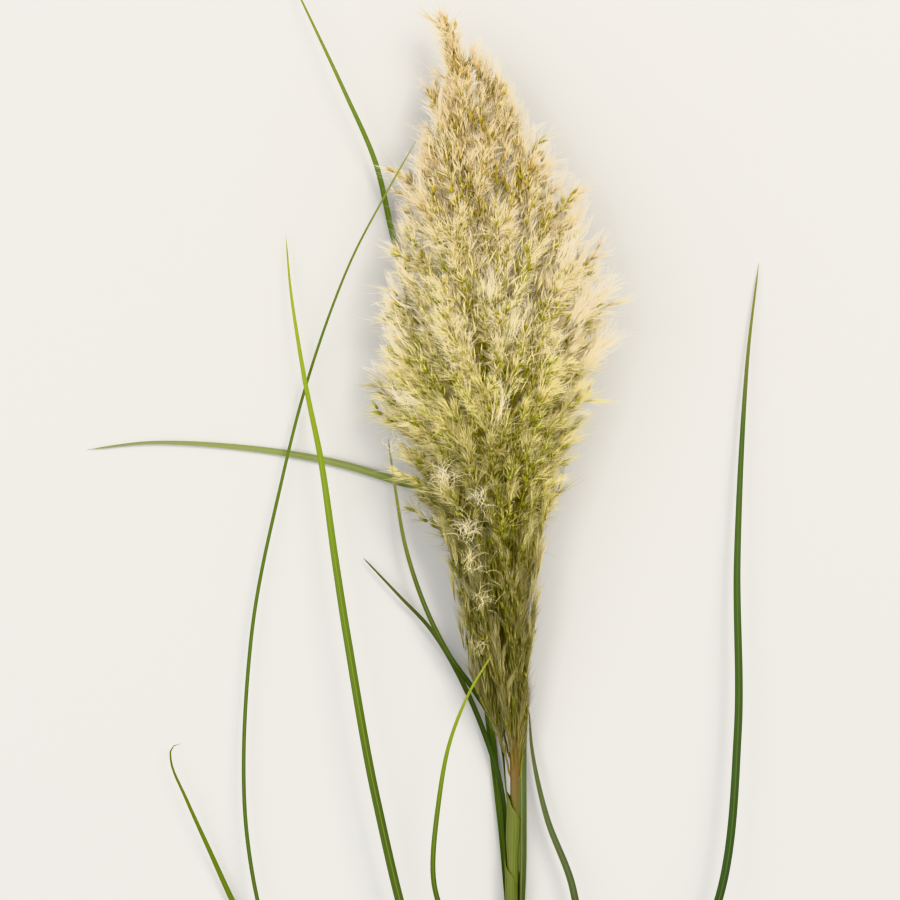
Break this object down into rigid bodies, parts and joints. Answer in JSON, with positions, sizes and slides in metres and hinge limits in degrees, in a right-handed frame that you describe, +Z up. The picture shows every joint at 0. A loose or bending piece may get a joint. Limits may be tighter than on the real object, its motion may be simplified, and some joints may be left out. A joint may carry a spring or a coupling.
{
  "type": "pampas grass plant",
  "caption": "Cut flowering shoot of pampas grass, lying down: culm, feathery cream plume on bowed branches, rolled leaf sheaths and long narrow blades.",
  "frame": {"origin": "on the surface, under the middle of the shoot's box", "axes": "+Y along the stem from the cut end to the tip of the plume, +X to the plume's right, +Z up from the surface"},
  "size_m": [0.3745, 0.7763, 0.067],
  "materials": {
    "culm": "smooth, satin, green below and golden in the plume",
    "plume_fluff": "silky cream hairs over golden florets",
    "leaf_green": "satin, fine parallel veins",
    "leaf_bright": "satin, fine parallel veins, yellow towards the tip",
    "leaf_dark": "satin, fine parallel veins",
    "leaf_pale": "matte, greyish green, fine parallel veins",
    "leaf_olive": "matte, olive going straw at the tip"
  },
  "bodies": {
    "root": {"branch_back_01": "plume_fluff", "branch_back_02": "plume_fluff", "branch_back_03": "plume_fluff", "branch_back_04": "plume_fluff", "branch_back_05": "plume_fluff", "branch_back_06": "plume_fluff", "branch_back_07": "plume_fluff", "branch_back_08": "plume_fluff", "branch_front_01": "plume_fluff", "branch_front_02": "plume_fluff", "branch_front_03": "plume_fluff", "branch_front_04": "plume_fluff", "branch_front_05": "plume_fluff", "branch_front_06": "plume_fluff", "branch_front_07": "plume_fluff", "branch_front_08": "plume_fluff", "branch_front_09": "plume_fluff", "branch_front_10": "plume_fluff", "branch_front_11": "plume_fluff", "branch_front_12": "plume_fluff", "branch_front_13": "plume_fluff", "branch_front_14": "plume_fluff", "branch_front_15": "plume_fluff", "branch_left_01": "plume_fluff", "branch_left_02": "plume_fluff", "branch_left_03": "plume_fluff", "branch_left_04": "plume_fluff", "branch_left_05": "plume_fluff", "branch_left_06": "plume_fluff", "branch_left_07": "plume_fluff", "branch_left_08": "plume_fluff", "branch_left_09": "plume_fluff", "branch_left_10": "plume_fluff", "branch_left_11": "plume_fluff", "branch_left_12": "plume_fluff", "branch_right_01": "plume_fluff", "branch_right_02": "plume_fluff", "branch_right_03": "plume_fluff", "branch_right_04": "plume_fluff", "branch_right_05": "plume_fluff", "branch_right_06": "plume_fluff", "branch_right_07": "plume_fluff", "branch_right_08": "plume_fluff", "branch_right_09": "plume_fluff", "branch_right_10": "plume_fluff", "branch_right_11": "plume_fluff", "branch_right_12": "plume_fluff", "flowering_stem": "culm", "leaf_01": "leaf_olive", "leaf_02": "leaf_olive", "leaf_03": "leaf_green", "leaf_04": "leaf_pale", "leaf_05": "leaf_bright", "leaf_06": "leaf_pale", "leaf_07": "leaf_bright", "leaf_08": "leaf_dark", "leaf_09": "leaf_green", "leaf_10": "leaf_bright"}
  },
  "joints": []
}
